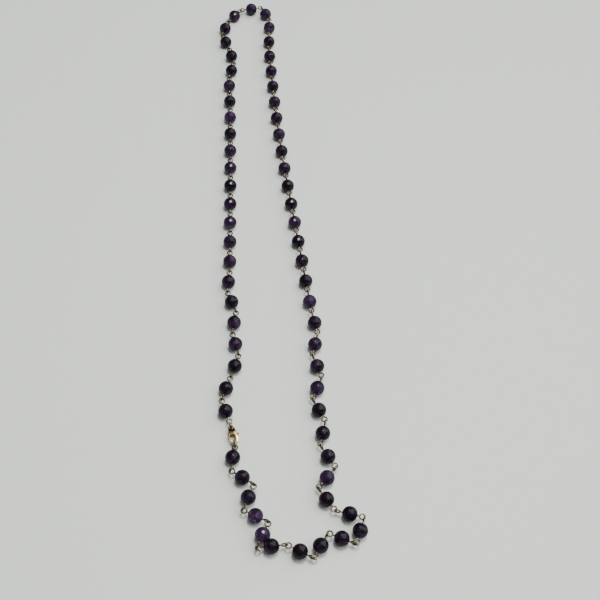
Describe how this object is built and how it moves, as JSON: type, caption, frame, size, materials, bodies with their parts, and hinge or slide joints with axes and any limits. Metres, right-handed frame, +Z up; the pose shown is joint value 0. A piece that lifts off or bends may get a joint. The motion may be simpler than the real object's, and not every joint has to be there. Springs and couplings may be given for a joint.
{
  "type": "beaded necklace",
  "caption": "Long single-strand necklace of round faceted amethyst beads on wire eye links, lying closed on its small lobster clasp.",
  "frame": {"origin": "on the surface that the necklace lies on, under the middle of its bounding box", "axes": "+Y along the loop's length, from the clasp's end to the far end; +X across the loop; +Z up from the surface"},
  "size_m": [0.0932, 0.4296, 0.008],
  "materials": {
    "amethyst": "polished facets, dark violet",
    "clasp_gold": "polished gold plate",
    "wire_brass": "antique brass wire, darkened"
  },
  "bodies": {
    "necklace": {"bead_string_near": "amethyst", "bead_string_far": "amethyst", "clasp_body": "clasp_gold", "bail_ring": "wire_brass", "hook_ring": "wire_brass"},
    "lever": {"clasp_lever": "clasp_gold"}
  },
  "joints": [
    {"name": "lever_pivot", "type": "hinge", "parent": "necklace", "child": "lever", "pos_m": [-0.02521, -0.14175, 0.0022], "axis": [0, 0, 1], "range_deg": [0, 22], "stiffness_Nm_per_rad": 0.003, "springref_deg": -20.05}
  ]
}
